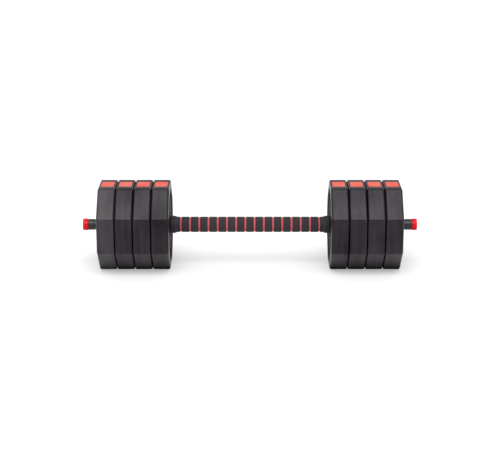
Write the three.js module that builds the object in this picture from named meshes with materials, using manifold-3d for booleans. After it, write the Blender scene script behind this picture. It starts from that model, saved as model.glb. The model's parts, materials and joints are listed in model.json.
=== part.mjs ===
// Adjustable dumbbell in its long-bar set-up: a foam-covered connecting rod with a screwed-on bar end
// on each side, four octagonal filled plates on each bar end, and a star nut that holds them.
// Millimetres, +Z up, the bar along X. The origin is the middle of the grip, on the bar's axis.
// "Right" is +X. The left side is the right side turned half a turn about Z, so threads keep their hand.

import * as THREE from "three";
import { mergeVertices } from "three/addons/utils/BufferGeometryUtils.js";
import Module from "manifold-3d";

const wasm = await Module();
wasm.setup();

// ---- Driving dimensions ----

const facets = 20; // round every turned piece
const seatGap = 0.3; // left between two pieces that seat on each other
const overcut = 1; // how far a cutter runs past the face it opens
const weldDistance = 1e-4; // points closer than this are one point

// Connecting rod
const rodLength = 379;
const rodTubeRadius = 14;
const rodTubeWall = 1.5;
const insertLength = 40;
const linerWall = 2.9; // red foam, seen in the grooves
const bandWall = 1.15; // black foam
const foamFit = 0.15; // glue line between liner and bands
const bandCount = 15;
const grooveWidth = 4;
const collarLength = 21.9; // flared stop at each end of the grip
const collarFlare = 2.5; // radial, over the foam
const collarRimLength = 5; // straight part of the flare, next to the plate
const collarBevel = 1;

// Bar end
const barTubeRadius = 11;
const barTubeWall = 2;
const sleeveWall = 3.7; // up to the thread's crests
const neckStep = 1.8; // the smooth neck is this much smaller in radius
const neckLength = 19.3;
const tipLength = 12.7; // head of the red end cap
const tipStep = 0.9; // radial, the cap's head over the neck
const tipBevelLength = 1.2;
const tipBevelStep = 0.8; // radial
const studRadius = 9;
const studLength = 38;
const studShoulderLength = 4;
const studShoulderStep = 1; // radial, below the sleeve
const studLeadIn = 1.5; // bevel at the screwed end
const plugLength = 26; // part of a stud or cap that is pressed into the tube
const screwFit = 0.3; // radial, stud in insert
const thrustWasherThickness = 1.5;

// Plates
const platesPerSide = 4;
const plateFlats = 200;
const plateThickness = 42.1;
const plateCornerRadius = 8;
const plateChamfer = 3.5;
const boreClearance = 0.4; // radial, plate on bar
const shellWall = 3;
const fingerRoom = 28.5; // radial, in the outboard recess round the nut
const recessDepth = 11;
const dishInnerRadius = 30; // shallow ring-shaped dish in the inboard face
const dishRim = 20; // face left outside the dish
const dishDepth = 1.5;
const fillerMargin = 5.55; // from the filling hole to each face of the plate
const fillerLength = 43;

// Star nut
const nutThickness = 16;
const nutLobes = 6;
const nutMeanRadius = 28;
const nutLobeHeight = 3.5;
const nutPointsPerLobe = 6;
const nutChamfer = 1.5;
const nutBoreClearance = 0.25; // radial, nut on bar
const nutWasherThickness = 2.5;
const nutWasherRadius = 21;

// ---- Sizes that follow ----

const rodHalf = rodLength / 2;
const rodBoreRadius = rodTubeRadius - rodTubeWall;
const linerRadius = rodTubeRadius + seatGap + linerWall;
const foamRadius = linerRadius + foamFit + bandWall;
const collarEndRadius = foamRadius + collarFlare;
const sleeveRadius = barTubeRadius + seatGap + sleeveWall;
const neckRadius = sleeveRadius - neckStep;
const tipRadius = neckRadius + tipStep;
const shoulderRadius = sleeveRadius - studShoulderStep;
const barBoreRadius = barTubeRadius - barTubeWall;
const foamHalf = rodHalf - collarLength - seatGap;
const bandWidth = (2 * foamHalf - (bandCount + 1) * grooveWidth) / bandCount;
const insertBoreRadius = studRadius + screwFit;
const plateBoreRadius = sleeveRadius + boreClearance;
const nutBoreRadius = sleeveRadius + nutBoreClearance;
const recessRadius = nutMeanRadius + nutLobeHeight + fingerRoom;
const dishOuterRadius = plateFlats / 2 - dishRim;
const fillerWidth = plateThickness - 2 * fillerMargin;
const pressedRadius = barBoreRadius - seatGap;
const platePitch = plateThickness + seatGap;
const plateStart = rodHalf + seatGap;
const stackEnd = plateStart + platesPerSide * platePitch - seatGap;
const recessFloor = stackEnd - recessDepth;
const nutWasherStart = recessFloor + seatGap;
const nutStart = nutWasherStart + nutWasherThickness + seatGap;
const nutEnd = nutStart + nutThickness;
const washerStart = rodHalf - thrustWasherThickness - seatGap;
const shoulderStart = rodHalf + seatGap;
const tubeStart = shoulderStart + studShoulderLength + seatGap;
const neckStart = nutEnd;
const sleeveEnd = neckStart + neckLength;
const capStart = sleeveEnd + seatGap;

// ---- Materials ----

const finish = (color, roughness, metalness = 0) =>
  new THREE.MeshStandardMaterial({ color, roughness, metalness });
const steel = finish(0xb9bbbe, 0.35, 1);
const paintedSteel = finish(0x2a2a2c, 0.4, 0.6);
const shellPlastic = finish(0x3b3a3d, 0.5);
const concrete = finish(0x9a978f, 0.95);
const redPlastic = finish(0xd9231f, 0.35);
const blackPlastic = finish(0x1f1f21, 0.3);
const nutPlastic = finish(0x252527, 0.45);
const rubber = finish(0x1b1b1c, 0.8);
const blackFoam = finish(0x2c2a2c, 0.9);
const redFoam = finish(0xb8363f, 0.85);

// ---- Geometry helpers ----

const alongX = new THREE.Matrix4().makeRotationZ(-Math.PI / 2);
const extrudedAlongX = new THREE.Matrix4().makeBasis(
  new THREE.Vector3(0, 1, 0),
  new THREE.Vector3(0, 0, 1),
  new THREE.Vector3(1, 0, 0),
);

// A solid turned about the X axis. The outline is a list of [x, radius] that closes on itself.
function turned(outline) {
  const points = outline.map(([x, radius]) => new THREE.Vector2(radius, x));
  if (THREE.ShapeUtils.area(points) < 0) points.reverse();
  points.push(points[0].clone());
  return new THREE.LatheGeometry(points, facets).applyMatrix4(alongX);
}

const ring = (start, end, innerRadius, outerRadius) =>
  turned([
    [start, innerRadius],
    [end, innerRadius],
    [end, outerRadius],
    [start, outerRadius],
  ]);

// A cylinder along X, used as a cutter.
const rod = (start, end, radius) =>
  new THREE.CylinderGeometry(radius, radius, end - start, facets)
    .applyMatrix4(alongX)
    .translate((start + end) / 2, 0, 0);

// A shape drawn in Y and Z, extruded from x = start to x = end, with its two rims chamfered.
function extruded(shape, start, end, chamfer = 0) {
  const geometry = new THREE.ExtrudeGeometry(shape, {
    depth: end - start - 2 * chamfer,
    curveSegments: 1,
    bevelEnabled: chamfer > 0,
    bevelThickness: chamfer,
    bevelSize: chamfer,
    bevelOffset: -chamfer,
    bevelSegments: 1,
  });
  return geometry
    .applyMatrix4(extrudedAlongX)
    .translate(start + chamfer, 0, 0);
}

function toSolid(geometry) {
  const bare = new THREE.BufferGeometry();
  bare.setAttribute("position", geometry.getAttribute("position"));
  if (geometry.index) bare.setIndex(geometry.index);
  const merged = mergeVertices(bare, weldDistance);
  return new wasm.Manifold(
    new wasm.Mesh({
      numProp: 3,
      vertProperties: merged.getAttribute("position").array,
      triVerts: new Uint32Array(merged.index.array),
    }),
  );
}

function toGeometry(solid) {
  const { numProp, vertProperties, triVerts } = solid.getMesh();
  const positions = new Float32Array((vertProperties.length / numProp) * 3);
  for (let i = 0; i < positions.length / 3; i++)
    positions.set(vertProperties.subarray(i * numProp, i * numProp + 3), i * 3);
  const geometry = new THREE.BufferGeometry();
  geometry.setAttribute("position", new THREE.BufferAttribute(positions, 3));
  geometry.setIndex(new THREE.BufferAttribute(triVerts, 1));
  geometry.computeVertexNormals();
  return geometry;
}

// The first geometry with each of the others cut out of it.
const cut = (geometry, ...cutters) =>
  toGeometry(
    cutters.reduce(
      (solid, cutter) => solid.subtract(toSolid(cutter)),
      toSolid(geometry),
    ),
  );

function piece(group, name, geometry, material) {
  const mesh = new THREE.Mesh(geometry, material);
  mesh.name = name;
  group.add(mesh);
  return mesh;
}

// ---- Connecting rod ----

function addConnectingRod(group) {
  piece(
    group,
    "connector_tube",
    ring(-rodHalf, rodHalf, rodBoreRadius, rodTubeRadius),
    paintedSteel,
  );
  piece(
    group,
    "foam_liner_red",
    ring(-foamHalf, foamHalf, rodTubeRadius + seatGap, linerRadius),
    redFoam,
  );
  for (let i = 0; i < bandCount; i++) {
    const start =
      -foamHalf + grooveWidth + i * (bandWidth + grooveWidth);
    piece(
      group,
      `foam_band_${String(i + 1).padStart(2, "0")}`,
      ring(start, start + bandWidth, linerRadius + foamFit, foamRadius),
      blackFoam,
    );
  }
}

// The flared stop that the innermost plate is clamped against.
function endCollar() {
  const boreRadius = rodTubeRadius + seatGap;
  const taperEnd = rodHalf - collarRimLength;
  return turned([
    [rodHalf - collarLength, boreRadius],
    [rodHalf, boreRadius],
    [rodHalf, collarEndRadius - collarBevel],
    [rodHalf - collarBevel, collarEndRadius],
    [taperEnd, collarEndRadius],
    [rodHalf - collarLength, foamRadius],
  ]);
}

// The internally threaded steel plug in each end of the connecting rod.
const threadInsert = () =>
  ring(
    washerStart - seatGap - insertLength,
    washerStart - seatGap,
    insertBoreRadius,
    rodBoreRadius - seatGap,
  );

// ---- Bar end ----

// Screws into the connecting rod at one end and is pressed into the bar tube at the other.
const couplingStud = () =>
  turned([
    [shoulderStart - studLength, 0],
    [shoulderStart - studLength, studRadius - studLeadIn],
    [shoulderStart - studLength + studLeadIn, studRadius],
    [shoulderStart, studRadius],
    [shoulderStart, shoulderRadius],
    [shoulderStart + studShoulderLength, shoulderRadius],
    [shoulderStart + studShoulderLength, pressedRadius],
    [tubeStart + plugLength, pressedRadius],
    [tubeStart + plugLength, 0],
  ]);

const threadedSleeve = () =>
  turned([
    [tubeStart, barTubeRadius + seatGap],
    [sleeveEnd, barTubeRadius + seatGap],
    [sleeveEnd, neckRadius],
    [neckStart, neckRadius],
    [neckStart - (sleeveRadius - neckRadius), sleeveRadius],
    [tubeStart, sleeveRadius],
  ]);

const endCap = () =>
  turned([
    [sleeveEnd - plugLength, 0],
    [sleeveEnd - plugLength, pressedRadius],
    [capStart, pressedRadius],
    [capStart, neckRadius],
    [capStart + tipBevelLength, tipRadius],
    [capStart + tipLength - tipBevelLength, tipRadius],
    [capStart + tipLength, tipRadius - tipBevelStep],
    [capStart + tipLength, 0],
  ]);

function addBarEnd(group, side) {
  piece(
    group,
    `${side}_thrust_washer`,
    ring(
      washerStart,
      washerStart + thrustWasherThickness,
      studRadius + seatGap,
      rodBoreRadius - seatGap,
    ),
    steel,
  );
  piece(group, `${side}_coupling_stud`, couplingStud(), steel);
  piece(
    group,
    `${side}_bar_tube`,
    ring(tubeStart, sleeveEnd, barBoreRadius, barTubeRadius),
    steel,
  );
  piece(group, `${side}_threaded_sleeve`, threadedSleeve(), blackPlastic);
  piece(group, `${side}_end_cap`, endCap(), redPlastic);
}

// ---- Plates ----

// A regular octagon that stands on a flat, with rounded corners.
function octagon(flats, cornerRadius) {
  const shape = new THREE.Shape();
  const cornerDistance =
    (flats / 2 - cornerRadius) / Math.cos(Math.PI / 8);
  for (let i = 0; i < 8; i++) {
    const angle = ((i + 0.5) * Math.PI) / 4;
    shape.absarc(
      cornerDistance * Math.cos(angle),
      cornerDistance * Math.sin(angle),
      cornerRadius,
      angle - Math.PI / 8,
      angle + Math.PI / 8,
    );
  }
  return shape;
}

// The hollow of a plate's shell, drawn in by inset on every side. Without inset it is the cavity itself.
// The filling is the same form with a small inset. The plate lies between x = 0 and x = plateThickness.
function plateHollow(inset) {
  const wall = shellWall + inset;
  const start = dishDepth + wall;
  const end = plateThickness - wall;
  return cut(
    extruded(
      octagon(plateFlats - 2 * wall, plateCornerRadius),
      start,
      end,
    ),
    rod(
      plateThickness - recessDepth - wall,
      plateThickness,
      recessRadius + wall,
    ),
    rod(0, plateThickness, plateBoreRadius + wall),
  );
}

// A box in the top flat, from the plate's outside down by depth. It is the filling hole's size less gap
// on every side.
function fillerBox(gap, depth) {
  return new THREE.BoxGeometry(
    fillerWidth - 2 * gap,
    fillerLength - 2 * gap,
    depth,
  ).translate(plateThickness / 2, 0, plateFlats / 2 - depth / 2);
}

function plateShell() {
  return cut(
    extruded(
      octagon(plateFlats, plateCornerRadius),
      0,
      plateThickness,
      plateChamfer,
    ),
    rod(-overcut, plateThickness + overcut, plateBoreRadius),
    rod(
      plateThickness - recessDepth,
      plateThickness + overcut,
      recessRadius,
    ),
    ring(-overcut, dishDepth, dishInnerRadius, dishOuterRadius),
    plateHollow(0),
    fillerBox(0, shellWall + overcut).translate(0, 0, overcut / 2),
  );
}

function addPlates(group, side) {
  const shell = plateShell();
  const filling = plateHollow(seatGap);
  const fillerCap = fillerBox(seatGap, shellWall);
  for (let i = 0; i < platesPerSide; i++) {
    const plate = new THREE.Group();
    plate.position.x = plateStart + i * platePitch;
    const name = `${side}_plate_${i + 1}`;
    piece(plate, `${name}_shell`, shell, shellPlastic);
    piece(plate, `${name}_filling`, filling, concrete);
    piece(plate, `${name}_filler_cap`, fillerCap, redPlastic);
    group.add(plate);
  }
}

// ---- Star nut ----

function starNut() {
  const shape = new THREE.Shape();
  const count = nutLobes * nutPointsPerLobe;
  for (let i = 0; i < count; i++) {
    const angle = (i / count) * 2 * Math.PI;
    const radius = nutMeanRadius + nutLobeHeight * Math.cos(nutLobes * angle);
    const y = radius * Math.cos(angle);
    const z = radius * Math.sin(angle);
    if (i === 0) shape.moveTo(y, z);
    else shape.lineTo(y, z);
  }
  return cut(
    extruded(shape, nutStart, nutEnd, nutChamfer),
    rod(nutStart - overcut, nutEnd + overcut, nutBoreRadius),
  );
}

function addNut(group, side) {
  piece(
    group,
    `${side}_nut_washer`,
    ring(
      nutWasherStart,
      nutWasherStart + nutWasherThickness,
      nutBoreRadius,
      nutWasherRadius,
    ),
    rubber,
  );
  piece(group, `${side}_star_nut`, starNut(), nutPlastic);
}

// ---- Assembly ----

const dumbbell = new THREE.Group();
addConnectingRod(dumbbell);
for (const [side, turn] of [
  ["right", 0],
  ["left", Math.PI],
]) {
  const half = new THREE.Group();
  half.rotation.z = turn;
  piece(half, `${side}_thread_insert`, threadInsert(), steel);
  piece(half, `${side}_end_collar`, endCollar(), rubber);
  addBarEnd(half, side);
  addPlates(half, side);
  addNut(half, side);
  dumbbell.add(half);
}

export default dumbbell;
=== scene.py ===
"""The looks of the adjustable dumbbell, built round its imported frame.

Metres, in the frame's axes: the bar lies along X with the middle of the grip at the origin, and +Z is up.
The pieces of the bar's ends are made as on the right-hand side. A left-hand piece is the same piece turned
half a turn about Z, so that all threads keep their hand.
"""

import json
import math

import bmesh
import bpy
from mathutils import Matrix, Vector

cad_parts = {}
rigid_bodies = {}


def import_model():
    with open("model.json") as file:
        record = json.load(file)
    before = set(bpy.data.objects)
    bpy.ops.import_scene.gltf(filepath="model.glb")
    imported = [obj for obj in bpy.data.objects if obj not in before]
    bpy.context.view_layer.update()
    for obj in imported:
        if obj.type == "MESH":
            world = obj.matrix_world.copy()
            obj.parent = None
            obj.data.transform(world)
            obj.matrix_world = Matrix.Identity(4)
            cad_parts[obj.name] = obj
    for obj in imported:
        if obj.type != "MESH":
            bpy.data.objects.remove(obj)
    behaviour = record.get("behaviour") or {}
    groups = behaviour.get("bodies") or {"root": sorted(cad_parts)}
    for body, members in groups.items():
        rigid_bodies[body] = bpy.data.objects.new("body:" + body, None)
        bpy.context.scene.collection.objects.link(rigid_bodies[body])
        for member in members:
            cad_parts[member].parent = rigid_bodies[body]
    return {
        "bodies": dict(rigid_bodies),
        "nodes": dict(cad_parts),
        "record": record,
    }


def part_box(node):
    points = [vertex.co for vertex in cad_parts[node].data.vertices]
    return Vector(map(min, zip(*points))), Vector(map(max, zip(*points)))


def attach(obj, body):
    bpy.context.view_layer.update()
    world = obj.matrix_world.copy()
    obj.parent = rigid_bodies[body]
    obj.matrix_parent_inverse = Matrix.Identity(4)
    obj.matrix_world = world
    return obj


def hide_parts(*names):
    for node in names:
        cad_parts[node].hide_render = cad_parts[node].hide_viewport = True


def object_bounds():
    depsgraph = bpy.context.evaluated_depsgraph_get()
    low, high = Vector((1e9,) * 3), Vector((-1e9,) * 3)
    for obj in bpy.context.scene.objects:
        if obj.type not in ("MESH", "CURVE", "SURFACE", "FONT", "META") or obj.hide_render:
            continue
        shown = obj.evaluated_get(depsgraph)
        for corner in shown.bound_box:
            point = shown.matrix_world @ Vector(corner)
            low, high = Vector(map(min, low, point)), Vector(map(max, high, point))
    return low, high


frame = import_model()
cad_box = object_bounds()

MM = 0.001
SIDES = {"right": Matrix.Identity(4), "left": Matrix.Rotation(math.pi, 4, "Z")}
PLATES_PER_SIDE = sum(name.startswith("right_plate_") for name in frame["bodies"])
SEAT_GAP = 0.3 * MM  # left between two pieces that seat on each other


def reach_of(node):
    """(inner x, outer x, radius) of a node on either side, with x as the distance from the middle."""
    lowest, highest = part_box(node)
    inner, outer = sorted((abs(lowest[0]), abs(highest[0])))
    return inner, outer, (highest[1] - lowest[1]) / 2


# ---- Camera, stage and light ----

VIEW_ELEVATION = math.radians(17.0)
VIEW_DISTANCE = 3.36
VIEW_LENS = 100.8  # millimetres, on Blender's usual 36 mm sensor
VIEW_TARGET = Vector((0, 0, -0.0017))

FLOOR_HALF = 60.0
FLOOR_GREY = 0.62
FLOOR_GLOW = 0.27  # brings the floor to white away from the shadows, and softens them
SUN_PLACE = Vector((-0.08, -1.35, 2.3))  # only its direction from the origin matters
SUN_STRENGTH = 1.7
SUN_ANGLE = math.radians(45)  # as wide as a softbox


def make_camera():
    data = bpy.data.cameras.new("camera")
    data.lens = VIEW_LENS
    camera = bpy.data.objects.new("camera", data)
    bpy.context.collection.objects.link(camera)
    back = Vector((0, -math.cos(VIEW_ELEVATION), math.sin(VIEW_ELEVATION)))
    camera.location = VIEW_TARGET + back * VIEW_DISTANCE
    camera.rotation_euler = (-back).to_track_quat("-Z", "Y").to_euler()
    bpy.context.scene.camera = camera


def make_floor():
    floor_z = cad_box[0].z
    corners = ((-1, -1), (1, -1), (1, 1), (-1, 1))
    mesh = bpy.data.meshes.new("floor")
    mesh.from_pydata([(x * FLOOR_HALF, y * FLOOR_HALF, floor_z) for x, y in corners], [], [(0, 1, 2, 3)])
    floor = bpy.data.objects.new("floor", mesh)
    bpy.context.collection.objects.link(floor)
    material = bpy.data.materials.new("floor")
    material.use_nodes = True
    shader = material.node_tree.nodes["Principled BSDF"]
    shader.inputs["Base Color"].default_value = (FLOOR_GREY, FLOOR_GREY, FLOOR_GREY, 1)
    shader.inputs["Roughness"].default_value = 0.9
    shader.inputs["Specular IOR Level"].default_value = 0.1
    shader.inputs["Emission Color"].default_value = (1, 1, 1, 1)
    shader.inputs["Emission Strength"].default_value = FLOOR_GLOW
    mesh.materials.append(material)


def make_light():
    """A white surround and one wide sun overhead, a little in front."""
    world = bpy.data.worlds.new("studio")
    world.use_nodes = True
    world.node_tree.nodes["Background"].inputs["Color"].default_value = (1, 1, 1, 1)
    world.node_tree.nodes["Background"].inputs["Strength"].default_value = 1.0
    bpy.context.scene.world = world

    data = bpy.data.lights.new("overhead_softbox", "SUN")
    data.energy = SUN_STRENGTH
    data.angle = SUN_ANGLE
    light = bpy.data.objects.new("overhead_softbox", data)
    bpy.context.collection.objects.link(light)
    light.location = SUN_PLACE
    light.rotation_euler = (-SUN_PLACE).to_track_quat("-Z", "Y").to_euler()


bpy.context.scene.view_settings.view_transform = "Standard"
make_camera()
make_floor()
make_light()


# ---- Materials ----


class Shading:
    """A procedural material. Its patterns read the piece's own coordinates, so they move with the piece."""

    def __init__(self, name):
        self.material = bpy.data.materials.new(name)
        self.material.use_nodes = True
        self.tree = self.material.node_tree
        self.shader = self.tree.nodes["Principled BSDF"]
        self.place = self.tree.nodes.new("ShaderNodeTexCoord").outputs["Object"]

    def set(self, **values):
        """Plain values go straight to the shader's sockets: sheen_weight=0.3 sets Sheen Weight."""
        for key, value in values.items():
            self.shader.inputs[key.replace("_", " ").title().replace("Ior", "IOR")].default_value = value

    def stretched(self, scale):
        """The coordinates times that (x, y, z) scale: a large factor makes a pattern short that way."""
        node = self.tree.nodes.new("ShaderNodeMapping")
        node.inputs["Scale"].default_value = scale
        self.tree.links.new(self.place, node.inputs["Vector"])
        return node.outputs["Vector"]

    def noise(self, scale, detail=3.0, roughness=0.55, stretch=None):
        node = self.tree.nodes.new("ShaderNodeTexNoise")
        node.inputs["Scale"].default_value = scale
        node.inputs["Detail"].default_value = detail
        node.inputs["Roughness"].default_value = roughness
        self.tree.links.new(self.stretched(stretch) if stretch else self.place, node.inputs["Vector"])
        return node.outputs["Fac"]

    def pores(self, scale):
        node = self.tree.nodes.new("ShaderNodeTexVoronoi")
        node.inputs["Scale"].default_value = scale
        self.tree.links.new(self.place, node.inputs["Vector"])
        return node.outputs["Distance"]

    def coordinate(self, axis):
        node = self.tree.nodes.new("ShaderNodeSeparateXYZ")
        self.tree.links.new(self.place, node.inputs["Vector"])
        return node.outputs[axis]

    def length(self, vector):
        node = self.tree.nodes.new("ShaderNodeVectorMath")
        node.operation = "LENGTH"
        self.tree.links.new(vector, node.inputs[0])
        return node.outputs["Value"]

    def mapped(self, source, low, high, start=0.0, end=1.0):
        """source from start to end becomes low to high."""
        node = self.tree.nodes.new("ShaderNodeMapRange")
        node.inputs["From Min"].default_value = start
        node.inputs["From Max"].default_value = end
        node.inputs["To Min"].default_value = low
        node.inputs["To Max"].default_value = high
        self.tree.links.new(source, node.inputs["Value"])
        return node.outputs["Result"]

    def combined(self, operation, first, *others):
        for other in others:
            node = self.tree.nodes.new("ShaderNodeMath")
            node.operation = operation
            self.tree.links.new(first, node.inputs[0])
            self.tree.links.new(other, node.inputs[1])
            first = node.outputs["Value"]
        return first

    def add(self, *sources):
        return self.combined("ADD", *sources)

    def times(self, *sources):
        return self.combined("MULTIPLY", *sources)

    def colours(self, source, stops):
        """A colour ramp of (position, (r, g, b)) stops."""
        node = self.tree.nodes.new("ShaderNodeValToRGB")
        ramp = node.color_ramp
        while len(ramp.elements) < len(stops):
            ramp.elements.new(0.5)
        for element, (position, colour) in zip(ramp.elements, stops):
            element.position = position
            element.color = (*colour, 1)
        self.tree.links.new(source, node.inputs["Fac"])
        return node.outputs["Color"]

    def feed(self, socket, source):
        self.tree.links.new(source, self.shader.inputs[socket])

    def paint(self, colour, roughness):
        self.feed("Base Color", colour)
        self.feed("Roughness", roughness)

    def bump(self, height, distance, strength):
        """Adds a bump of that depth in metres on top of those already there."""
        node = self.tree.nodes.new("ShaderNodeBump")
        node.inputs["Strength"].default_value = strength
        node.inputs["Distance"].default_value = distance
        self.tree.links.new(height, node.inputs["Height"])
        normal = self.shader.inputs["Normal"]
        if normal.is_linked:
            self.tree.links.new(normal.links[0].from_socket, node.inputs["Normal"])
        self.tree.links.new(node.outputs["Normal"], normal)


def shades(colour, spread):
    """That colour made darker and lighter by spread, for a ramp."""
    return [
        (0.25, tuple(c * (1 - spread) for c in colour)),
        (0.75, tuple(c * (1 + spread) for c in colour)),
    ]


RIM_START, RIM_END = 0.086, 0.090  # from the axis: inside lie a plate's two faces, outside its rim
TOP_SHINE = 0.3  # what a plate's uppermost flat keeps of the shine
PAINTED_SHADE_FROM, PAINTED_SHADE_TO = -0.66, -0.95  # painted shade: the shine fades out between these shares of the top's height, so the plates darken towards the floor
# the plate whose colour is painted lighter: painted light from the left
PAINTED_LIGHT_PLATE = "left_plate_4_shell"


def shell_plastic():
    """Satin on the rim, matt on the two faces and the top flat, and with painted shade: the shine fades out
    towards the floor.

    The outermost left plate is painted lighter than the others: painted light, standing in for light from
    the left.
    """
    look = Shading("shell_plastic")
    cloud = look.noise(14, detail=3)
    streaks = look.noise(1, detail=2, stretch=(75, 8, 8))
    painted_light_start = -reach_of(PAINTED_LIGHT_PLATE)[0]
    # painted light: the outermost left plate's colour is lifted, as if lit from the left
    painted_left_light = look.mapped(look.coordinate("X"), low=0.55, high=0, start=painted_light_start - 0.2 * MM, end=painted_light_start)
    tone = look.add(
        look.mapped(cloud, low=0, high=0.45),
        look.mapped(streaks, low=0, high=0.45),
        painted_left_light,
    )
    off_axis = look.length(look.stretched((0, 1, 1)))
    look.paint(
        look.colours(tone, [
            (0.2, (0.0045, 0.0010, 0.0043)),
            (0.6, (0.0090, 0.0042, 0.0090)),
            (1.0, (0.0270, 0.0210, 0.0275)),
        ]),
        look.add(
            look.mapped(streaks, low=0.26, high=0.40, start=0.25, end=0.75),
            look.mapped(off_axis, low=0.35, high=0, start=RIM_START, end=RIM_END),
        ),
    )
    shine = look.add(
        look.mapped(off_axis, low=-0.08, high=0.07, start=RIM_START, end=RIM_END),
        look.mapped(streaks, low=0.07, high=0.22, start=0.3, end=0.7),
        look.mapped(cloud, low=0, high=0.12, start=0.3, end=0.7),
    )
    height = look.coordinate("Z")
    top = cad_box[1].z
    below_top = look.mapped(height, low=1, high=TOP_SHINE, start=top - 1.5 * MM, end=top - 0.3 * MM)
    # painted shade: less shine towards the floor, so the lower flats darken as if reflecting the shadowed
    # floor
    above_floor = look.mapped(height, low=0, high=1, start=PAINTED_SHADE_TO * top, end=PAINTED_SHADE_FROM * top)
    look.feed("Specular IOR Level", look.times(shine, below_top, above_floor))
    look.bump(look.noise(1400, detail=2), 0.05 * MM, 0.5)
    look.bump(look.noise(40, detail=2), 0.25 * MM, 0.4)
    return look.material


def moulded_plastic(name, stops, roughness, shine=0.3, cloud_scale=60, cloud_detail=3):
    """stops are the ramp that the cloud pattern runs through, and roughness its least and most."""
    look = Shading(name)
    smoothest, roughest = roughness
    look.paint(
        look.colours(look.noise(cloud_scale, detail=cloud_detail), stops),
        look.mapped(look.noise(180, detail=4), low=smoothest, high=roughest, start=0.3, end=0.7),
    )
    look.set(specular_ior_level=shine)
    look.bump(look.noise(300, detail=1), 0.02 * MM, 0.3)
    return look.material


def foam(name, colour):
    look = Shading(name)
    cells = look.pores(1100)
    mottle = look.add(
        look.mapped(look.noise(500, detail=4), low=0, high=0.6),
        look.mapped(cells, low=0, high=0.6),
    )
    look.paint(
        look.colours(mottle, shades(colour, 0.35)),
        look.mapped(look.noise(70), low=0.78, high=0.95),
    )
    look.set(specular_ior_level=0.3, sheen_weight=0.04, sheen_roughness=0.5)
    look.bump(cells, 0.25 * MM, 0.6)
    look.bump(look.noise(160, detail=3), 0.3 * MM, 0.35)
    return look.material


def rubber(name, colour):
    look = Shading(name)
    look.paint(
        look.colours(look.noise(120, detail=4), shades(colour, 0.3)),
        look.mapped(look.noise(300), low=0.55, high=0.75),
    )
    look.set(specular_ior_level=0.4)
    look.bump(look.noise(1300, detail=3), 0.05 * MM, 0.5)
    return look.material


def turned_steel(name, colour, roughness):
    """Fine turning lines run round the bar."""
    look = Shading(name)
    smoothest, roughest = roughness
    lines = look.noise(1, detail=2, stretch=(4000, 8, 8))
    look.paint(
        look.colours(look.noise(35, detail=4), shades(colour, 0.12)),
        look.mapped(lines, low=smoothest, high=roughest, start=0.3, end=0.7),
    )
    look.set(metallic=1.0)
    look.bump(lines, 0.02 * MM, 0.5)
    return look.material


def cement(name, colour):
    look = Shading(name)
    grit = look.pores(320)
    look.paint(
        look.colours(look.noise(90, detail=8, roughness=0.7), shades(colour, 0.35)),
        look.mapped(grit, low=0.85, high=1.0),
    )
    look.bump(grit, 0.6 * MM, 0.7)
    look.bump(look.noise(700, detail=6), 0.3 * MM, 0.6)
    return look.material


BLACK_GLOSS = (0.015, 0.014, 0.0145)
BLACK_SATIN = (0.012, 0.012, 0.013)
FILLER_SHADES = [(0.35, (0.65, 0.045, 0.014)), (0.65, (0.62, 0.085, 0.048))]  # orange-red to pinkish

LOOKS = {
    "shell_plastic": shell_plastic(),
    "concrete": cement("concrete", (0.34, 0.325, 0.30)),
    "filler_red": moulded_plastic("filler_red", FILLER_SHADES, (0.38, 0.50), cloud_scale=19, cloud_detail=1),
    "red_plastic": moulded_plastic(
        "red_plastic", shades((0.65, 0.001, 0.005), 0.12), (0.13, 0.27), shine=0.18
    ),
    "black_plastic": moulded_plastic("black_plastic", shades(BLACK_GLOSS, 0.25), (0.22, 0.36), shine=0.38),
    "nut_plastic": moulded_plastic("nut_plastic", shades(BLACK_SATIN, 0.25), (0.36, 0.50)),
    "foam_black": foam("foam_black", (0.021, 0.018, 0.020)),
    "foam_red": foam("foam_red", (0.43, 0.068, 0.085)),
    "rubber": rubber("rubber", (0.012, 0.011, 0.012)),
    "steel": turned_steel("steel", (0.62, 0.63, 0.64), (0.22, 0.42)),
    "painted_steel": moulded_plastic("painted_steel", shades(BLACK_SATIN, 0.2), (0.29, 0.43)),
}


# ---- Mesh helpers ----

TURN_STEPS = 128  # points round a turned piece
FILLET_STEPS = 4
EDGE_STEPS = 5
SHARP_ANGLE = math.radians(38)  # an edge that turns by more stays sharp


def around(x, radius, steps=TURN_STEPS):
    """A circle about the bar's axis, as points."""
    return [
        (x, radius * math.cos(2 * math.pi * k / steps), radius * math.sin(2 * math.pi * k / steps))
        for k in range(steps)
    ]


def rounded(corners):
    """The outline of (x, radius) points through (x, radius, fillet) corners, with arcs for the fillets.

    The outline closes on itself. A corner with a fillet of 0 stays sharp.
    """
    outline = []
    for k, (x, radius, fillet) in enumerate(corners):
        corner = Vector((x, radius))
        if fillet == 0:
            outline.append(tuple(corner))
            continue
        to_last = Vector(corners[k - 1][:2]) - corner
        to_next = Vector(corners[(k + 1) % len(corners)][:2]) - corner
        half_angle = to_last.angle(to_next) / 2
        reach = fillet / math.tan(half_angle)
        first = corner + to_last.normalized() * reach
        last = corner + to_next.normalized() * reach
        middle = corner + (to_last.normalized() + to_next.normalized()).normalized() * (
            fillet / math.sin(half_angle)
        )
        sweep = (first - middle).angle_signed(last - middle)
        for step in range(FILLET_STEPS + 1):
            turn = Matrix.Rotation(-sweep * step / FILLET_STEPS, 2)
            outline.append(tuple(middle + turn @ (first - middle)))
    return outline


def quarter_arc(across, inwards):
    """The (x, inset) points of a rounded edge, from the face to the rim, with x measured from the face."""
    turns = [math.pi / 2 * step / EDGE_STEPS for step in range(EDGE_STEPS + 1)]
    return [(across * (1 - math.cos(turn)), inwards * (1 - math.sin(turn))) for turn in turns]


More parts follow.
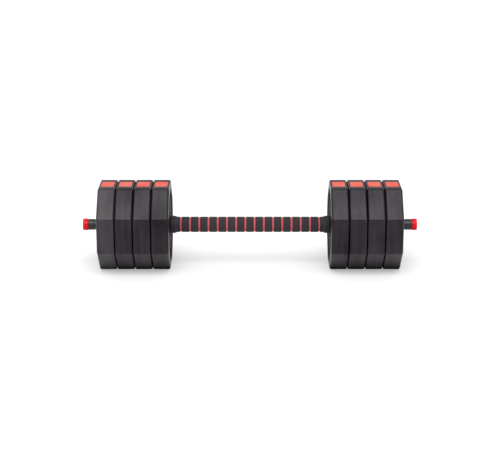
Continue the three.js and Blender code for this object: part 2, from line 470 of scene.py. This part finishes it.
def woven(bm, loops, closed=True):
    """The rings of points and the rows of faces over loops of equally many points, added to bm.

    They are closed from the last loop to the first if asked.
    """
    rings = [[bm.verts.new(p) for p in loop] for loop in loops]
    faces = []
    for ring, following in zip(rings, rings[1:] + rings[:1] if closed else rings[1:]):
        count = len(ring)
        faces.append([
            bm.faces.new((ring[k], ring[(k + 1) % count], following[(k + 1) % count], following[k]))
            for k in range(count)
        ])
    return rings, faces


def skin(loops, closed=True):
    bm = bmesh.new()
    woven(bm, loops, closed)
    return bm


def to_mesh(bm, name):
    """Merges collapsed points, turns the faces outwards and gives the mesh."""
    bmesh.ops.remove_doubles(bm, verts=bm.verts, dist=1e-7)
    bmesh.ops.dissolve_degenerate(bm, edges=bm.edges, dist=1e-8)
    bmesh.ops.recalc_face_normals(bm, faces=bm.faces)
    mesh = bpy.data.meshes.new(name)
    bm.to_mesh(mesh)
    bm.free()
    mesh.shade_smooth()
    mesh.set_sharp_from_angle(angle=SHARP_ANGLE)
    return mesh


def slot_of(node):
    return next(p["material_slot"] for p in frame["record"]["subparts"] if p["node"] == node)


def body_of(node):
    return next(b for b, nodes in frame["record"]["behaviour"]["bodies"].items() if node in nodes)


def stand_for(node, mesh):
    """A piece of that mesh replaces the CAD node, on the node's body and with its material slot."""
    piece = bpy.data.objects.new(f"{node}_piece", mesh)
    bpy.context.collection.objects.link(piece)
    mesh.materials.append(LOOKS[slot_of(node)])
    smooth = piece.modifiers.new("even_normals", "WEIGHTED_NORMAL")
    smooth.keep_sharp = True
    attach(piece, body_of(node))
    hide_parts(node)
    return piece


def placed(mesh, matrix, name):
    """A copy of the mesh with the matrix applied."""
    copy = mesh.copy()
    copy.name = name
    copy.transform(matrix)
    return copy


def turned(name, corners):
    """A mesh turned about the bar's axis from (x, radius, fillet) corners that close on themselves."""
    loops = [around(x, radius) for x, radius in rounded(corners)]
    on_axis = corners[0][1] == 0 and corners[-1][1] == 0
    return to_mesh(skin(loops, closed=not on_axis), name)


def pipe(name, start, end, bore, radius, bore_fillet, rim_fillet):
    """A turned tube with round edges."""
    return turned(name, [
        (start, bore, bore_fillet),
        (end, bore, bore_fillet),
        (end, radius, rim_fillet),
        (start, radius, rim_fillet),
    ])


THREAD_ROWS = 8  # loops in one pitch
RUN_OUT = 0.6  # pitches over which a thread fades at its ends
FLANK = 0.9  # over 0.5 the crests and the roots are flat


def thread(start, end, radius, depth, pitch, steps=TURN_STEPS):
    """The loops of a right-hand screw surface. A positive depth cuts in from radius, a negative one out.

    The groove fades out at both ends, so it meets plain ends.
    """
    rows = math.ceil((end - start) / pitch * THREAD_ROWS)
    loops = []
    for row in range(rows + 1):
        x = start + (end - start) * row / rows
        fade = min(1, (x - start) / (RUN_OUT * pitch), (end - x) / (RUN_OUT * pitch))
        loop = []
        for k in range(steps):
            angle = 2 * math.pi * k / steps
            wave = math.cos(2 * math.pi * (x / pitch) - angle)
            groove = min(1, max(0, 0.5 - FLANK * wave))
            local = radius - depth * fade * groove
            loop.append((x, local * math.cos(angle), local * math.sin(angle)))
        loops.append(loop)
    return loops


def on_both_sides(node, mesh):
    """A right-hand mesh stands for right_NODE, and turned half a turn for left_NODE."""
    for side, turn in SIDES.items():
        stand_for(f"{side}_{node}", placed(mesh, turn, f"{side}_{node}"))


# ---- Connecting rod ----

ROD_TUBE_WALL = 1.5 * MM
BAR_TUBE_WALL = 2 * MM
FOAM_FIT = 0.15 * MM  # between the two layers of foam
STUD_RADIUS = 9 * MM
STUD_PITCH = 2.5 * MM
NUT_PITCH = 6 * MM


def make_connector_tube():
    _, half, radius = reach_of("connector_tube")
    bore = radius - ROD_TUBE_WALL
    tube = pipe("connector_tube", -half, half, bore, radius, bore_fillet=0.3 * MM, rim_fillet=0.4 * MM)
    stand_for("connector_tube", tube)


def make_foam():
    """The red layer, and round it the black one, which is cut into bands."""
    _, half, radius = reach_of("foam_liner_red")
    bore = reach_of("connector_tube")[2] + SEAT_GAP
    layer = pipe("foam_liner_red", -half, half, bore, radius, bore_fillet=0, rim_fillet=0.5 * MM)
    liner = stand_for("foam_liner_red", layer)
    bore = radius + FOAM_FIT
    for name in frame["nodes"]:
        if name.startswith("foam_band_"):
            lowest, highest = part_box(name)
            layer = pipe(
                name, lowest[0], highest[0], bore, highest[1], bore_fillet=0.15 * MM, rim_fillet=0.9 * MM
            )
            band = stand_for(name, layer)


def make_end_collars():
    """They flare smoothly from the foam's size to their rim."""
    bore = reach_of("connector_tube")[2] + SEAT_GAP
    start, end, rim = reach_of("right_end_collar")
    band_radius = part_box("foam_band_01")[1][1]
    flare_start, flare_end = start + 6 * MM, start + 12 * MM
    flare_fillet = 5 * MM
    on_both_sides(
        "end_collar",
        turned("end_collar", [
            (start, bore, 0.2 * MM),
            (end, bore, 0.2 * MM),
            (end, rim, 1.0 * MM),
            (flare_end, rim - 0.3 * MM, flare_fillet),
            (flare_start, band_radius, flare_fillet),
            (start, band_radius, 0.8 * MM),
        ]),
    )


def make_thread_inserts():
    start, end, radius = reach_of("right_thread_insert")
    bore = STUD_RADIUS + SEAT_GAP
    thread_depth = 1.1 * MM
    edge = 0.5 * MM
    loops = thread(start + edge, end - edge, bore, -thread_depth, STUD_PITCH)
    loops += [
        around(end, bore + edge),
        around(end, radius - edge),
        around(end - edge, radius),
        around(start + edge, radius),
        around(start, radius - edge),
        around(start, bore + edge),
    ]
    on_both_sides("thread_insert", to_mesh(skin(loops), "thread_insert"))


# ---- Bar ends ----


def make_thrust_washers():
    start, end, radius = reach_of("right_thrust_washer")
    bore = STUD_RADIUS + SEAT_GAP
    washer = pipe("thrust_washer", start, end, bore, radius, bore_fillet=0.3 * MM, rim_fillet=0.3 * MM)
    on_both_sides("thrust_washer", washer)


def make_coupling_studs():
    """A threaded stud, a shoulder against the connecting rod, and a plain plug inside the bar tube."""
    start, end, shoulder = reach_of("right_coupling_stud")
    tube_start, _, tube_radius = reach_of("right_bar_tube")
    shoulder_start = reach_of("connector_tube")[1] + SEAT_GAP
    shoulder_end = tube_start - SEAT_GAP
    plug = tube_radius - BAR_TUBE_WALL - SEAT_GAP
    thread_depth = 1.2 * MM
    edge = 0.5 * MM
    chamfer = 1.5 * MM
    relief = 2 * MM  # a short plain groove between the thread and the shoulder
    core = STUD_RADIUS - chamfer
    loops = [around(start, 0), around(start, core)]
    loops += thread(start + chamfer, shoulder_start - relief, STUD_RADIUS, thread_depth, STUD_PITCH)
    loops += [
        around(shoulder_start - relief, core),
        around(shoulder_start, core),
        around(shoulder_start, shoulder - edge),
        around(shoulder_start + edge, shoulder),
        around(shoulder_end - edge, shoulder),
        around(shoulder_end, shoulder - edge),
        around(shoulder_end, plug),
        around(end - edge, plug),
        around(end, plug - edge),
        around(end, 0),
    ]
    on_both_sides("coupling_stud", to_mesh(skin(loops, closed=False), "coupling_stud"))


def make_bar_tubes():
    start, end, radius = reach_of("right_bar_tube")
    bore = radius - BAR_TUBE_WALL
    tube = pipe("bar_tube", start, end, bore, radius, bore_fillet=0.3 * MM, rim_fillet=0.3 * MM)
    on_both_sides("bar_tube", tube)


HEAD_STEP = 0.9 * MM  # the end cap's head stands out from the sleeve's end by this


def make_threaded_sleeves():
    """Threaded as far as the nut, then a plain neck with a band at its end, against the cap."""
    start, end, crest = reach_of("right_threaded_sleeve")
    bore = reach_of("right_bar_tube")[2] + SEAT_GAP
    inside_nut = 1.8 * MM  # the thread stops this far short of the nut's outer face
    thread_end = reach_of("right_star_nut")[1] - inside_nut
    thread_depth = 1.3 * MM
    neck = reach_of("right_end_cap")[2] - HEAD_STEP
    waist = neck - 0.6 * MM
    band_start = end - 13 * MM
    edge = 0.7 * MM
    loops = [around(start, crest - edge)]
    loops += thread(start + edge, thread_end, crest, thread_depth, NUT_PITCH)
    loops += [
        around(thread_end + crest - waist, waist),
        around(band_start - edge, waist),
        around(band_start, neck - 0.2 * MM),
        around(band_start + 0.3 * MM, neck),
        around(end - edge, neck),
        around(end - 0.3 * edge, neck - 0.3 * edge),
        around(end, neck - edge),
        around(end, bore),
        around(start, bore),
    ]
    on_both_sides("threaded_sleeve", to_mesh(skin(loops), "threaded_sleeve"))


def make_end_caps():
    """A plug in the bar tube, a thin groove, and a round head with a dish in its end."""
    plug_start, end, head = reach_of("right_end_cap")
    start = reach_of("right_threaded_sleeve")[1] + SEAT_GAP
    plug = reach_of("right_bar_tube")[2] - BAR_TUBE_WALL - SEAT_GAP
    groove = head - 1.6 * MM
    groove_width = 0.9 * MM
    dish = 10.2 * MM
    dish_depth = 0.8 * MM
    on_both_sides(
        "end_cap",
        turned("end_cap", [
            (plug_start, 0, 0),
            (plug_start, plug, 0.8 * MM),
            (start, plug, 0),
            (start, groove, 0.2 * MM),
            (start + groove_width, groove, 0.2 * MM),
            (start + groove_width + 0.2 * MM, head, 0.3 * MM),
            (end, head, 0.7 * MM),
            (end, dish, 0.3 * MM),
            (end - dish_depth, dish - dish_depth, 0.4 * MM),
            (end - dish_depth, 0, 0),
        ]),
    )


# ---- Plates ----

STOPS_PER_FLAT = 11  # points along a flat
HOLE_FIRST_STOP, HOLE_STOPS = 3, 4  # the columns of the top flat that the filling hole takes up
CORNER_STEPS = 6
FIRST_STOP = -(STOPS_PER_FLAT // 2)  # so that a circle's points line up with an octagon's
TOP_FLAT = 2  # flats are counted from +Y towards +Z

PLATE_CORNER = 8 * MM
RIM_EDGE = 4.2 * MM  # the rounding between rim and face, along the bar
RIM_EDGE_DEPTH = 6.5 * MM  # and towards it
PLATE_BORE_FIT = 0.4 * MM
BORE_EDGE = 0.9 * MM
HOLE_LIP = 0.4 * MM  # the filling hole's edge is let in by this
RECESS_RADIUS = 60 * MM
DISH_DEPTH = 1.5 * MM  # of the inboard face
FIELD_DEPTH = 1.6 * MM  # of the outboard face, between its border and its ring
STEP = 0.3 * MM  # the rounding at the foot or the top of a slope


class PlateSkin:
    """Loops of a plate's surface, each an octagon with round corners or a circle, with marked rows."""

    def __init__(self, hole_half):
        self.hole_half = hole_half
        self.loops = []
        self.rows = {}

    def mark(self, row):
        """Names the row of faces that starts at the last loop."""
        self.rows[row] = len(self.loops) - 1

    def circle(self, x, radius):
        loop = around(x, radius)
        self.loops.append([loop[(k + FIRST_STOP) % TURN_STEPS] for k in range(TURN_STEPS)])

    def octagon(self, x, apothem, corner):
        half_flat = (apothem - corner) * math.tan(math.pi / 8)
        lip = self.hole_half + HOLE_LIP
        positive = [self.hole_half / 2, self.hole_half, lip, (lip + half_flat) / 2, half_flat]
        stops = [-t for t in reversed(positive)] + [0] + positive
        loop = []
        for flat in range(8):
            normal = flat * math.pi / 4
            for t in stops:
                loop.append((
                    x,
                    apothem * math.cos(normal) - t * math.sin(normal),
                    apothem * math.sin(normal) + t * math.cos(normal),
                ))
            to_centre = (apothem - corner) / math.cos(math.pi / 8)
            middle = normal + math.pi / 8
            for step in range(1, CORNER_STEPS):
                angle = normal + math.pi / 4 * step / CORNER_STEPS
                loop.append((
                    x,
                    to_centre * math.cos(middle) + corner * math.cos(angle),
                    to_centre * math.sin(middle) + corner * math.sin(angle),
                ))
        self.loops.append(loop)


def raise_patches(bm, row, patches, slope, along_x):
    """Moves each run of columns in a row of faces by along_x, with sides that slope over that width."""
    for columns in patches:
        patch = [row[k % TURN_STEPS] for k in columns]
        bmesh.ops.inset_region(bm, faces=patch, thickness=slope, depth=0, use_even_offset=True)
        for vert in {v for face in patch for v in face.verts}:
            vert.co.x += along_x


def inboard_face(outside, bore):
    """From the bore out to the rim: a hub ring, a dish that holds the raised bars, and a flat border."""
    hub, hub_foot = 28.6 * MM, 31 * MM
    bars_start, bars_end = 60 * MM, 74 * MM
    dish_foot, dish_rim = 78.4 * MM, 80 * MM
    rim_edge, rim_edge_depth = 0.8 * MM, 0.2 * MM
    outside.circle(BORE_EDGE, bore)
    outside.circle(0, bore + BORE_EDGE)
    outside.circle(0, hub)
    outside.circle(STEP, hub + 2 * STEP)
    outside.circle(DISH_DEPTH, hub_foot)
    outside.circle(DISH_DEPTH, bars_start)
    outside.mark("inboard_bars")
    outside.circle(DISH_DEPTH, bars_end)
    outside.circle(DISH_DEPTH, dish_foot)
    outside.circle(rim_edge_depth, dish_rim)
    outside.circle(0, dish_rim + rim_edge)


def rim(outside, thickness, apothem, hole_start, hole_end):
    """The eight flats with their round edges, cut into rows where the filling hole lies."""
    edge = quarter_arc(RIM_EDGE, RIM_EDGE_DEPTH)
    for across, inset in edge:
        outside.octagon(across, apothem - inset, PLATE_CORNER - inset)
    outside.octagon(hole_start - HOLE_LIP, apothem, PLATE_CORNER)
    outside.octagon(hole_start, apothem, PLATE_CORNER)
    outside.mark("hole")
    outside.octagon((hole_start + hole_end) / 2, apothem, PLATE_CORNER)
    outside.octagon(hole_end, apothem, PLATE_CORNER)
    outside.octagon(hole_end + HOLE_LIP, apothem, PLATE_CORNER)
    for across, inset in reversed(edge):
        outside.octagon(thickness - across, apothem - inset, PLATE_CORNER - inset)


def outboard_face(outside, thickness, apothem, bore, recess_floor):
    """From the rim in to the bore: a border, a sunk field with pads, a ring, and the nut's recess."""
    border, border_corner = apothem - 10.5 * MM, 3 * MM
    border_edge, border_slope = 0.5 * MM, 2.1 * MM
    field = thickness - FIELD_DEPTH
    pads_start, pads_end = 82.5 * MM, 71 * MM
    ring_foot, ring_edge, ring = 67.6 * MM, 66 * MM, 65.3 * MM
    mouth, mouth_middle = 1.6 * MM, 0.5 * MM  # the rounding at the recess's mouth, with one point between
    foot, foot_middle = 2 * MM, 0.6 * MM  # and the one at its foot
    ribs_start, ribs_end = 54 * MM, 32 * MM
    hub = 25 * MM
    outside.octagon(thickness, border, border_corner)
    outside.octagon(thickness - STEP, border - border_edge, border_corner)
    outside.octagon(field, border - border_slope, border_corner)
    outside.circle(field, pads_start)
    outside.mark("field_pads")
    outside.circle(field, pads_end)
    outside.circle(field, ring_foot)
    outside.circle(thickness - STEP, ring_edge)
    outside.circle(thickness, ring)
    outside.circle(thickness, RECESS_RADIUS + mouth)
    outside.circle(thickness - mouth_middle, RECESS_RADIUS + mouth_middle)
    outside.circle(thickness - mouth, RECESS_RADIUS)
    outside.circle(recess_floor + foot, RECESS_RADIUS)
    outside.circle(recess_floor + foot_middle, RECESS_RADIUS - foot_middle)
    outside.circle(recess_floor, RECESS_RADIUS - foot)
    outside.circle(recess_floor, ribs_start)
    outside.mark("recess_ribs")
    outside.circle(recess_floor, ribs_end)
    outside.circle(recess_floor, hub)
    outside.circle(recess_floor, bore + BORE_EDGE)
    outside.circle(recess_floor - BORE_EDGE, bore)


def hollow(inside, wall, thickness, apothem, bore, recess_floor, hole_start, hole_end):
    """The shell's inner surface, cut into rows as the rim is."""
    rim_inside = apothem - wall
    inside.circle(DISH_DEPTH + wall, bore + wall)
    inside.octagon(DISH_DEPTH + wall, rim_inside, PLATE_CORNER)
    inside.octagon(hole_start, rim_inside, PLATE_CORNER)
    inside.mark("hole")
    inside.octagon((hole_start + hole_end) / 2, rim_inside, PLATE_CORNER)
    inside.octagon(hole_end, rim_inside, PLATE_CORNER)
    inside.octagon(thickness - wall, rim_inside, PLATE_CORNER)
    inside.circle(thickness - wall, RECESS_RADIUS + wall)
    inside.circle(recess_floor - wall, RECESS_RADIUS + wall)
    inside.circle(recess_floor - wall, bore + wall)


def open_hole(bm, surfaces, rows):
    """Cuts the filling hole through the outer and the inner surface and joins the two rims."""
    first = TOP_FLAT * TURN_STEPS // 8 + HOLE_FIRST_STOP
    last = first + HOLE_STOPS
    rims, doomed = [], []
    for (rings, faces), row in zip(surfaces, rows):
        doomed += [faces[r][k] for r in (row, row + 1) for k in range(first, last)]
        rims.append(
            [rings[row][k] for k in range(first, last + 1)]
            + [rings[row + 1][last]]
            + [rings[row + 2][k] for k in range(last, first - 1, -1)]
            + [rings[row + 1][first]]
        )
    bmesh.ops.delete(bm, geom=doomed, context="FACES")
    outer, inner = rims
    for vert in outer:
        vert.co.z -= HOLE_LIP
    for k in range(len(outer)):
        after = (k + 1) % len(outer)
        bm.faces.new((outer[k], outer[after], inner[after], inner[k]))


def plate_shell_mesh():
    """One plate's shell with its inboard face at x = 0: a hollow moulding with a filling hole on top."""
    start, end, apothem = reach_of("right_plate_1_shell")
    thickness = end - start
    cap_low, cap_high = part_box("right_plate_1_filler_cap")
    hole_start = cap_low[0] - start - SEAT_GAP
    hole_end = cap_high[0] - start + SEAT_GAP
    hole_half = cap_high[1] + SEAT_GAP
    wall = cap_high[2] - cap_low[2]
    bore = reach_of("right_threaded_sleeve")[2] + PLATE_BORE_FIT
    washer_seat = reach_of("right_nut_washer")[0] - SEAT_GAP
    recess_floor = washer_seat - reach_of("right_plate_4_shell")[0]

    outside = PlateSkin(hole_half)
    inboard_face(outside, bore)
    rim(outside, thickness, apothem, hole_start, hole_end)
    outboard_face(outside, thickness, apothem, bore, recess_floor)
    inside = PlateSkin(hole_half)
    hollow(inside, wall, thickness, apothem, bore, recess_floor, hole_start, hole_end)

    bm = bmesh.new()
    surfaces = [woven(bm, surface.loops) for surface in (outside, inside)]
    open_hole(bm, surfaces, [outside.rows["hole"], inside.rows["hole"]])

    faces = surfaces[0][1]
    flat_columns = TURN_STEPS // 8
    bars = [range(k, k + 2) for k in range(0, TURN_STEPS, 4)]  # two columns raised, two left, and so on
    pads = [range(flat, flat + STOPS_PER_FLAT - 1) for flat in range(0, TURN_STEPS, flat_columns)]
    ribs = [range(k, k + 1) for k in range(STOPS_PER_FLAT // 2, TURN_STEPS, flat_columns // 2)]
    raise_patches(bm, faces[outside.rows["inboard_bars"]], bars, slope=0.6 * MM, along_x=-1.1 * MM)
    raise_patches(bm, faces[outside.rows["field_pads"]], pads, slope=1.2 * MM, along_x=1.2 * MM)
    raise_patches(bm, faces[outside.rows["recess_ribs"]], ribs, slope=0.35 * MM, along_x=1.8 * MM)
    return to_mesh(bm, "plate_shell")


def filler_cap_mesh():
    """The plug of the filling hole, with round edges and a shallow panel."""
    lowest, highest = (Vector(c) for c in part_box("right_plate_1_filler_cap"))
    edge = 0.7 * MM
    panel_border = 2 * MM
    panel_slope = 0.3 * MM
    panel_depth = 0.25 * MM
    bm = bmesh.new()
    bmesh.ops.create_cube(bm, size=1)
    for vert in bm.verts:
        vert.co = Vector(a + (b - a) * (v + 0.5) for a, b, v in zip(lowest, highest, vert.co))
    bmesh.ops.bevel(
        bm, geom=bm.edges[:], offset=edge, segments=3, profile=0.5, affect="EDGES", clamp_overlap=True
    )
    top = max(bm.faces, key=lambda face: face.calc_center_median().z)
    bmesh.ops.inset_region(bm, faces=[top], thickness=panel_border, depth=0)
    bmesh.ops.inset_region(bm, faces=[top], thickness=panel_slope, depth=-panel_depth)
    return to_mesh(bm, "filler_cap")


def make_plates():
    shell = plate_shell_mesh()
    cap = filler_cap_mesh()
    first_start = reach_of("right_plate_1_shell")[0]
    for side, turn in SIDES.items():
        for number in range(1, PLATES_PER_SIDE + 1):
            plate = f"{side}_plate_{number}"
            start = reach_of(f"{plate}_shell")[0]
            shell_place = turn @ Matrix.Translation((start, 0, 0))
            cap_place = turn @ Matrix.Translation((start - first_start, 0, 0))
            stand_for(f"{plate}_shell", placed(shell, shell_place, f"{plate}_shell"))
            stand_for(f"{plate}_filler_cap", placed(cap, cap_place, f"{plate}_filler_cap"))
            filling = frame["nodes"][f"{plate}_filling"]
            filling.data.materials.clear()
            filling.data.materials.append(LOOKS[slot_of(f"{plate}_filling")])


# ---- Star nuts ----

NUT_STEPS = 144
NUT_LOBES = 6
NUT_LOBE_DEPTH = 3.5 * MM
NUT_BORE_FIT = 0.25 * MM


def star(x, inset):
    """The nut's lobed outline, drawn in by inset."""
    reach = reach_of("right_star_nut")[2]
    loop = []
    for k in range(NUT_STEPS):
        angle = 2 * math.pi * k / NUT_STEPS
        radius = reach - NUT_LOBE_DEPTH + NUT_LOBE_DEPTH * math.cos(NUT_LOBES * angle) - inset
        loop.append((x, radius * math.cos(angle), radius * math.sin(angle)))
    return loop


def make_star_nuts():
    """A threaded bore, a raised ring round it in a shallow groove, and six round-edged lobes."""
    start, end, _ = reach_of("right_star_nut")
    bore = reach_of("right_threaded_sleeve")[2] + NUT_BORE_FIT
    bore_edge = 1 * MM
    ring = 18.6 * MM
    groove_depth = 1.2 * MM
    lobe_border, back_border = 3.4 * MM, 4 * MM
    edge = quarter_arc(2.2 * MM, 2.2 * MM)
    loops = thread(start + bore_edge, end - bore_edge, bore, -bore_edge, NUT_PITCH, steps=NUT_STEPS)
    loops += [
        around(end, bore + bore_edge, NUT_STEPS),
        around(end, ring, NUT_STEPS),
        around(end - groove_depth, ring + 0.8 * MM, NUT_STEPS),
        star(end - groove_depth, lobe_border + 1 * MM),
        star(end, lobe_border),
    ]
    loops += [star(end - across, inset) for across, inset in edge]
    loops += [star(start + across, inset) for across, inset in reversed(edge)]
    loops += [
        star(start, back_border),
        around(start, bore + bore_edge, NUT_STEPS),
    ]
    on_both_sides("star_nut", to_mesh(skin(loops), "star_nut"))


def make_nut_washers():
    start, end, radius = reach_of("right_nut_washer")
    bore = reach_of("right_threaded_sleeve")[2] + NUT_BORE_FIT
    washer = pipe("nut_washer", start, end, bore, radius, bore_fillet=0.4 * MM, rim_fillet=0.8 * MM)
    on_both_sides("nut_washer", washer)


make_connector_tube()
make_foam()
make_end_collars()
make_thread_inserts()
make_thrust_washers()
make_coupling_studs()
make_bar_tubes()
make_threaded_sleeves()
make_end_caps()
make_plates()
make_star_nuts()
make_nut_washers()
